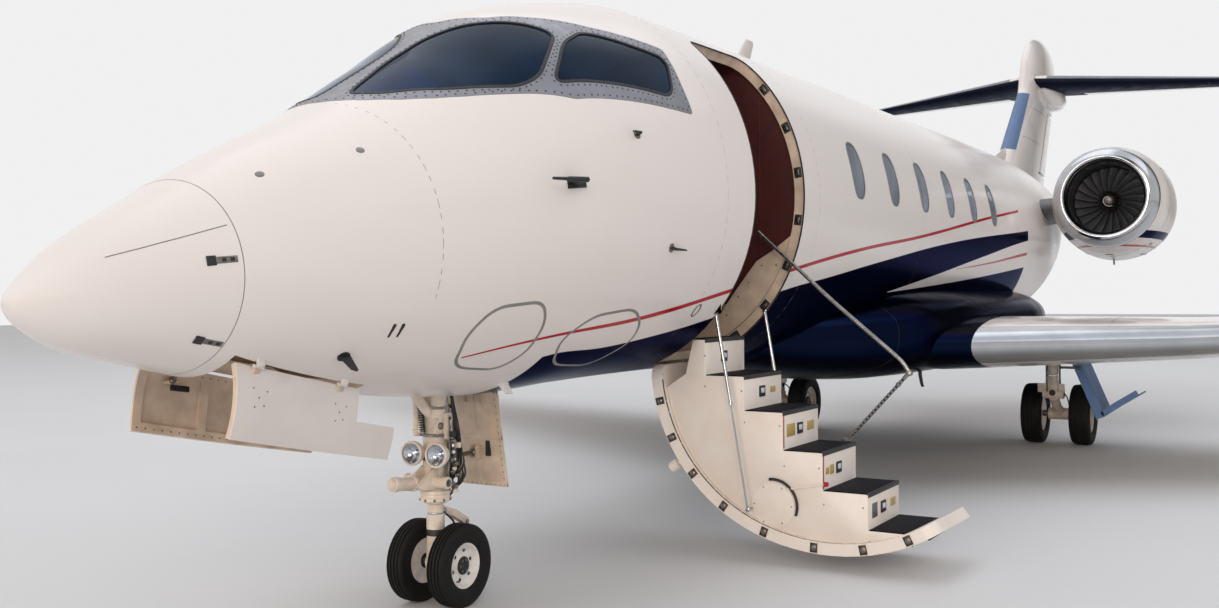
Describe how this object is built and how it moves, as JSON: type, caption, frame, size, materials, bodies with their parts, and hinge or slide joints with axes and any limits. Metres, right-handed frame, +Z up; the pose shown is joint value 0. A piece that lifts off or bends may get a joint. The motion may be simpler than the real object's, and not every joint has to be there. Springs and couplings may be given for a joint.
{
  "type": "business jet",
  "caption": "Twin-engined business jet with a T tail and winglets, parked on its gear with the airstair let down; wheels, fans, door, steering and control surfaces move.",
  "frame": {"origin": "middle of the footprint on the ground, at half the length from the nose tip", "axes": "+Z up, nose toward -Y, port side and the airstair toward +X"},
  "size_m": [20.9958, 20.92, 6.08],
  "materials": {
    "paint_white": "gloss",
    "composite_white": "gloss",
    "composite_navy": "gloss",
    "paint_navy": "gloss",
    "bare_grey": "satin",
    "polished_lip": "polished",
    "glass_dark": "gloss",
    "interior_cream": "satin",
    "leather_red": "satin",
    "leather_cream": "satin",
    "panel_dark": "matte",
    "engine_metal": "satin",
    "fan_metal": "satin",
    "gear_white": "gloss",
    "gear_steel": "satin",
    "tyre_rubber": "matte",
    "door_cream": "satin",
    "stair_cream": "satin",
    "rail_steel": "satin"
  },
  "bodies": {
    "airframe": {"nose_radome": "composite_white", "cockpit_shell": "paint_white", "cabin_shell": "paint_white", "tail_cone": "paint_white", "windscreen_frame": "bare_grey", "windscreen_glazing": "glass_dark", "cabin_windows_port": "glass_dark", "cabin_windows_starboard": "glass_dark", "cabin_floor": "interior_cream", "cabin_bulkhead": "leather_red", "instrument_panel": "panel_dark", "pilot_seats": "leather_red", "cabin_seats": "leather_cream", "belly_fairing": "composite_navy", "wing_port": "paint_white", "wing_starboard": "paint_white", "fin": "paint_white", "tailplane": "paint_white", "nose_leg": "gear_white", "nose_leg_door": "door_cream", "intake_lip_port": "polished_lip", "nacelle_port": "composite_white", "engine_core_port": "engine_metal", "pylon_port": "bare_grey", "main_leg_port": "gear_white", "main_gear_door_port": "paint_navy", "intake_lip_starboard": "polished_lip", "nacelle_starboard": "composite_white", "engine_core_starboard": "engine_metal", "pylon_starboard": "bare_grey", "main_leg_starboard": "gear_white", "main_gear_door_starboard": "paint_navy"},
    "nose_steering": {"nose_fork": "gear_steel"},
    "nose_wheels": {"nose_wheel_hubs": "gear_white", "nose_tyre_port": "tyre_rubber", "nose_tyre_starboard": "tyre_rubber"},
    "main_wheels_port": {"main_wheel_hubs_port": "gear_white", "main_tyre_outer_port": "tyre_rubber", "main_tyre_inner_port": "tyre_rubber"},
    "main_wheels_starboard": {"main_wheel_hubs_starboard": "gear_white", "main_tyre_outer_starboard": "tyre_rubber", "main_tyre_inner_starboard": "tyre_rubber"},
    "fan_rotor_port": {"fan_port": "fan_metal"},
    "fan_rotor_starboard": {"fan_starboard": "fan_metal"},
    "airstair": {"airstair_shell": "paint_white", "airstair_steps": "stair_cream"},
    "rail_lower": {"handrail_lower": "rail_steel"},
    "rail_upper": {"handrail_upper": "rail_steel"},
    "strut_tubes": {"stair_strut_tube_fwd": "rail_steel", "stair_strut_tube_aft": "rail_steel"},
    "strut_rods": {"stair_strut_rod_fwd": "rail_steel", "stair_strut_rod_aft": "rail_steel"},
    "rudder_body": {"rudder": "paint_white"},
    "elevator_body_port": {"elevator_port": "paint_white"},
    "elevator_body_starboard": {"elevator_starboard": "paint_white"},
    "aileron_body_port": {"aileron_port": "paint_white"},
    "aileron_body_starboard": {"aileron_starboard": "paint_white"},
    "bay_door_port": {"nose_bay_door_port": "paint_white"},
    "bay_door_starboard": {"nose_bay_door_starboard": "paint_white"}
  },
  "joints": [
    {"name": "nose_steering", "type": "hinge", "parent": "airframe", "child": "nose_steering", "pos_m": [0, -7.99, 0.43], "axis": [0, 0, 1], "range_deg": [-60, 60]},
    {"name": "nose_wheel_spin", "type": "hinge", "parent": "nose_steering", "child": "nose_wheels", "pos_m": [0, -7.96, 0.2285], "axis": [1, 0, 0], "continuous": true},
    {"name": "main_wheel_spin_port", "type": "hinge", "parent": "airframe", "child": "main_wheels_port", "pos_m": [1.655, 0.99, 0.3365], "axis": [1, 0, 0], "continuous": true},
    {"name": "main_wheel_spin_starboard", "type": "hinge", "parent": "airframe", "child": "main_wheels_starboard", "pos_m": [-1.655, 0.99, 0.3365], "axis": [1, 0, 0], "continuous": true},
    {"name": "fan_spin_port", "type": "hinge", "parent": "airframe", "child": "fan_rotor_port", "pos_m": [1.906, 2.53, 2.884], "axis": [-0.0262, 0.9993, -0.0262], "continuous": true},
    {"name": "fan_spin_starboard", "type": "hinge", "parent": "airframe", "child": "fan_rotor_starboard", "pos_m": [-1.906, 2.53, 2.884], "axis": [0.0262, 0.9993, -0.0262], "continuous": true},
    {"name": "airstair_hinge", "type": "hinge", "parent": "airframe", "child": "airstair", "pos_m": [0.375, -5.86, 1.241], "axis": [0, -1, 0], "range_deg": [0, 108.4]},
    {"name": "rail_lower_fold", "type": "hinge", "parent": "airstair", "child": "rail_lower", "pos_m": [1.472, -5.51, 0.718], "axis": [0, 1, 0], "range_deg": [0, 56.3]},
    {"name": "rail_upper_fold", "type": "hinge", "parent": "rail_lower", "child": "rail_upper", "pos_m": [1.89, -5.484, 1.18], "axis": [0, -1, 0], "range_deg": [0, 59.8]},
    {"name": "strut_tube_swing", "type": "hinge", "parent": "airframe", "child": "strut_tubes", "pos_m": [0.855, -5.832, 1.584], "axis": [0, -1, 0], "range_deg": [0, 155.6]},
    {"name": "strut_rod_slide", "type": "slide", "parent": "strut_tubes", "child": "strut_rods", "axis": [-0.1716, 0, 0.9852], "range_m": [0, 0.56]},
    {"name": "rudder_hinge", "type": "hinge", "parent": "airframe", "child": "rudder_body", "pos_m": [0, 7.93481, 3.76], "axis": [0, 0.6009, 0.7993], "range_deg": [-30, 30]},
    {"name": "elevator_hinge_port", "type": "hinge", "parent": "airframe", "child": "elevator_body_port", "pos_m": [0.64, 9.10455, 5.27], "axis": [0.9413, 0.3376, 0], "range_deg": [-22, 22]},
    {"name": "elevator_hinge_starboard", "type": "hinge", "parent": "airframe", "child": "elevator_body_starboard", "pos_m": [-0.64, 9.10455, 5.27], "axis": [0.9413, -0.3376, 0], "range_deg": [-22, 22]},
    {"name": "aileron_hinge_port", "type": "hinge", "parent": "airframe", "child": "aileron_body_port", "pos_m": [6.7, 1.79115, 1.43279], "axis": [0.9435, 0.3286, 0.0425], "range_deg": [-22, 22]},
    {"name": "aileron_hinge_starboard", "type": "hinge", "parent": "airframe", "child": "aileron_body_starboard", "pos_m": [-6.7, 1.79115, 1.43279], "axis": [0.9435, -0.3286, -0.0425], "range_deg": [-22, 22]},
    {"name": "bay_door_hinge_port", "type": "hinge", "parent": "airframe", "child": "bay_door_port", "pos_m": [0.322, -9.66, 1.427], "axis": [0, 0.9764, -0.2161], "range_deg": [0, 76]},
    {"name": "bay_door_hinge_starboard", "type": "hinge", "parent": "airframe", "child": "bay_door_starboard", "pos_m": [-0.322, -9.66, 1.427], "axis": [0, -0.9764, 0.2161], "range_deg": [0, 76]}
  ],
  "couplings": [
    {"joint": "rail_lower_fold", "follows": "airstair_hinge", "ratio": 0.51937},
    {"joint": "rail_upper_fold", "follows": "airstair_hinge", "ratio": 0.55166},
    {"joint": "strut_tube_swing", "follows": "airstair_hinge", "ratio": 1.4354},
    {"joint": "strut_rod_slide", "follows": "airstair_hinge", "m_per_rad": 0.29599},
    {"joint": "elevator_hinge_starboard", "follows": "elevator_hinge_port", "ratio": 1},
    {"joint": "aileron_hinge_starboard", "follows": "aileron_hinge_port", "ratio": -1}
  ]
}
